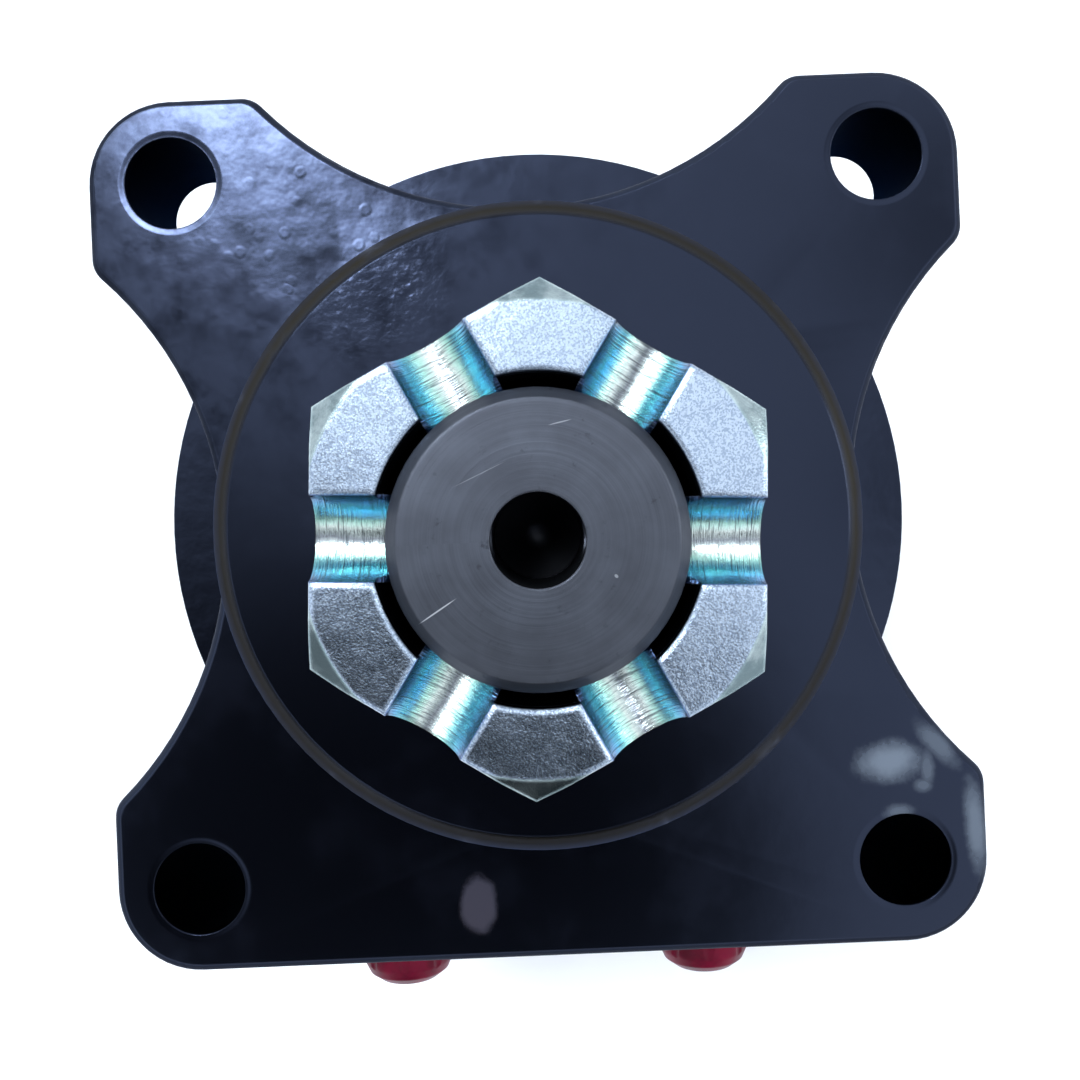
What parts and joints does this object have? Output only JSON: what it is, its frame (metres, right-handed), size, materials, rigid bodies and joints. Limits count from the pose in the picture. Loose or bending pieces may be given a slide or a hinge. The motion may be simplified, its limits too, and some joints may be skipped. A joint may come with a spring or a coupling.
{
  "type": "hydraulic gear motor",
  "caption": "Low-speed hydraulic wheel motor: gerotor gear set behind a four-eared mounting flange, pilot nose and tapered shaft held by a slotted nut.",
  "frame": {"origin": "centre of the mounting flange's front face, on the shaft axis", "axes": "+Z along the shaft towards its threaded end, -Y towards the two oil ports, +X completes the right-handed frame; the part stands on its cover screws"},
  "size_m": [0.129, 0.1472, 0.2061],
  "materials": {
    "black_enamel": "gloss black enamel over a cast surface",
    "shaft_steel": "turned, darkened steel",
    "zinc_plate": "bright zinc plate over forged steel",
    "black_rubber": "satin",
    "spring_steel": "blued",
    "bearing_steel": "ground",
    "gear_steel": "ground",
    "screw_steel": "black oxide",
    "copper": "soft copper washer, brass stands in for copper",
    "red_plastic": "satin red polyethylene"
  },
  "bodies": {
    "casing": {"housing": "black_enamel", "dust_seal": "black_rubber", "seal_snap_ring": "spring_steel", "shaft_seal": "black_rubber", "seal_backup_washer": "spring_steel", "bearing_cup": "bearing_steel", "thrust_race_front": "bearing_steel", "wear_plate": "black_enamel", "stator_ring": "black_enamel", "end_cover": "black_enamel", "cover_screws": "screw_steel", "screw_washers": "screw_steel", "seal_ring_front": "black_rubber", "seal_ring_middle": "black_rubber", "seal_ring_rear": "black_rubber", "drain_plug": "screw_steel", "drain_washer": "copper"},
    "shaft": {"output_shaft": "shaft_steel", "woodruff_key": "shaft_steel", "slotted_nut": "zinc_plate", "thrust_race_rear": "bearing_steel"},
    "needle_set": {"bearing_cage": "spring_steel", "bearing_rollers": "bearing_steel"},
    "thrust_set": {"thrust_cage": "spring_steel", "thrust_rollers": "bearing_steel"},
    "spacer": {"drive_spacer": "gear_steel"},
    "star": {"rotor_star": "gear_steel"},
    "link": {"drive_link": "gear_steel"},
    "roller_1": {"roller_1": "bearing_steel"},
    "roller_2": {"roller_2": "bearing_steel"},
    "roller_3": {"roller_3": "bearing_steel"},
    "roller_4": {"roller_4": "bearing_steel"},
    "roller_5": {"roller_5": "bearing_steel"},
    "roller_6": {"roller_6": "bearing_steel"},
    "roller_7": {"roller_7": "bearing_steel"},
    "plug_left": {"port_plug_left": "red_plastic"},
    "plug_right": {"port_plug_right": "red_plastic"}
  },
  "joints": [
    {"name": "shaft_spin", "type": "hinge", "parent": "casing", "child": "shaft", "pos_m": [0, 0, 0], "axis": [0, 0, 1], "continuous": true},
    {"name": "needle_orbit", "type": "hinge", "parent": "casing", "child": "needle_set", "pos_m": [0, 0, 0], "axis": [0, 0, 1], "continuous": true},
    {"name": "thrust_orbit", "type": "hinge", "parent": "casing", "child": "thrust_set", "pos_m": [0, 0, 0], "axis": [0, 0, 1], "continuous": true},
    {"name": "spacer_orbit", "type": "hinge", "parent": "casing", "child": "spacer", "pos_m": [0, 0, 0], "axis": [0, 0, 1], "continuous": true},
    {"name": "star_spin", "type": "hinge", "parent": "spacer", "child": "star", "pos_m": [0.003, 0, 0], "axis": [0, 0, 1], "continuous": true},
    {"name": "link_spin", "type": "hinge", "parent": "spacer", "child": "link", "pos_m": [0, 0, -0.038], "axis": [-0.0535, 0, 0.9986], "continuous": true},
    {"name": "roller_1_spin", "type": "hinge", "parent": "casing", "child": "roller_1", "pos_m": [0.033, 0, 0], "axis": [0, 0, 1], "continuous": true},
    {"name": "roller_2_spin", "type": "hinge", "parent": "casing", "child": "roller_2", "pos_m": [0.02058, 0.0258, 0], "axis": [0, 0, 1], "continuous": true},
    {"name": "roller_3_spin", "type": "hinge", "parent": "casing", "child": "roller_3", "pos_m": [-0.00734, 0.03217, 0], "axis": [0, 0, 1], "continuous": true},
    {"name": "roller_4_spin", "type": "hinge", "parent": "casing", "child": "roller_4", "pos_m": [-0.02973, 0.01432, 0], "axis": [0, 0, 1], "continuous": true},
    {"name": "roller_5_spin", "type": "hinge", "parent": "casing", "child": "roller_5", "pos_m": [-0.02973, -0.01432, 0], "axis": [0, 0, 1], "continuous": true},
    {"name": "roller_6_spin", "type": "hinge", "parent": "casing", "child": "roller_6", "pos_m": [-0.00734, -0.03217, 0], "axis": [0, 0, 1], "continuous": true},
    {"name": "roller_7_spin", "type": "hinge", "parent": "casing", "child": "roller_7", "pos_m": [0.02058, -0.0258, 0], "axis": [0, 0, 1], "continuous": true},
    {"name": "plug_left_pull", "type": "slide", "parent": "casing", "child": "plug_left", "axis": [0, -1, 0], "range_m": [0, 0.02]},
    {"name": "plug_right_pull", "type": "slide", "parent": "casing", "child": "plug_right", "axis": [0, -1, 0], "range_m": [0, 0.02]}
  ],
  "couplings": [
    {"joint": "needle_orbit", "follows": "shaft_spin", "ratio": 0.442},
    {"joint": "thrust_orbit", "follows": "shaft_spin", "ratio": 0.5},
    {"joint": "spacer_orbit", "follows": "shaft_spin", "ratio": -6},
    {"joint": "star_spin", "follows": "shaft_spin", "ratio": 7},
    {"joint": "link_spin", "follows": "shaft_spin", "ratio": 7}
  ]
}
